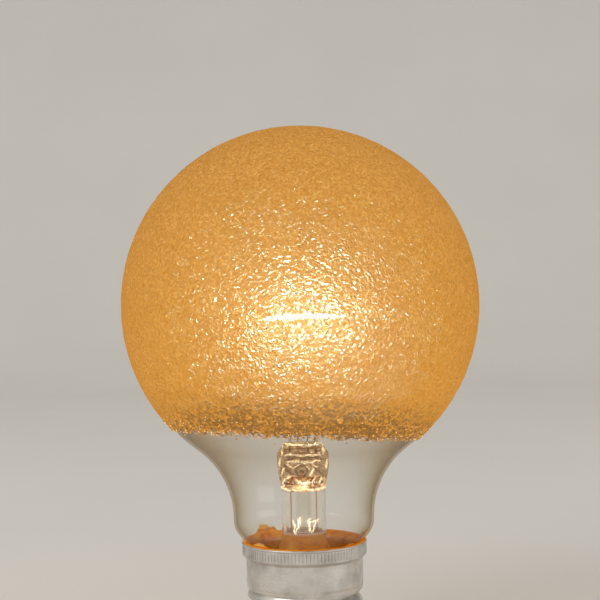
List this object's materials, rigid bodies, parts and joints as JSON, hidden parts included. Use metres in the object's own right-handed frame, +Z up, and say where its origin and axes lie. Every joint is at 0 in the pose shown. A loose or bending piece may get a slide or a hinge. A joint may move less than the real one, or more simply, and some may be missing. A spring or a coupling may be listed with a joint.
{
  "type": "globe bulb",
  "caption": "Incandescent globe bulb with a granular translucent coat on the globe, a clear glass neck that shows the stem, and a screw cap with a centre contact.",
  "frame": {"origin": "lowest point of the centre contact's solder dome, on the bulb's axis", "axes": "+Z up along the axis from the cap to the globe, +X along the filament, the viewer of the picture at -Y"},
  "size_m": [0.0806, 0.0806, 0.1197],
  "materials": {
    "clear_glass": "clear blown soda-lime glass",
    "frost": "granular translucent coat",
    "stem_glass": "clear pressed lead glass",
    "tungsten": "glowing coiled wire",
    "nickel_wire": "drawn wire, satin",
    "molybdenum_wire": "drawn wire, dull grey",
    "copper_wire": "drawn copper wire",
    "cap_metal": "rolled sheet, satin",
    "black_glass": "glossy black vitreous insulator",
    "contact_brass": "stamped brass",
    "solder": "dull tin solder",
    "cement": "baked brown capping cement, rough"
  },
  "bodies": {
    "root": {"glass_envelope": "clear_glass", "frost_coat": "frost", "stem_flare": "stem_glass", "exhaust_tube": "stem_glass", "inner_lead_left": "nickel_wire", "inner_lead_right": "nickel_wire", "seal_wire_left": "copper_wire", "seal_wire_right": "copper_wire", "outer_lead_left": "copper_wire", "outer_lead_right": "copper_wire", "fuse_link": "nickel_wire", "filament": "tungsten", "support_wire_left": "molybdenum_wire", "support_wire_right": "molybdenum_wire", "cap_shell": "cap_metal", "cap_insulator": "black_glass", "contact_plate": "contact_brass", "contact_solder": "solder", "side_solder": "solder", "capping_cement": "cement"}
  },
  "joints": []
}
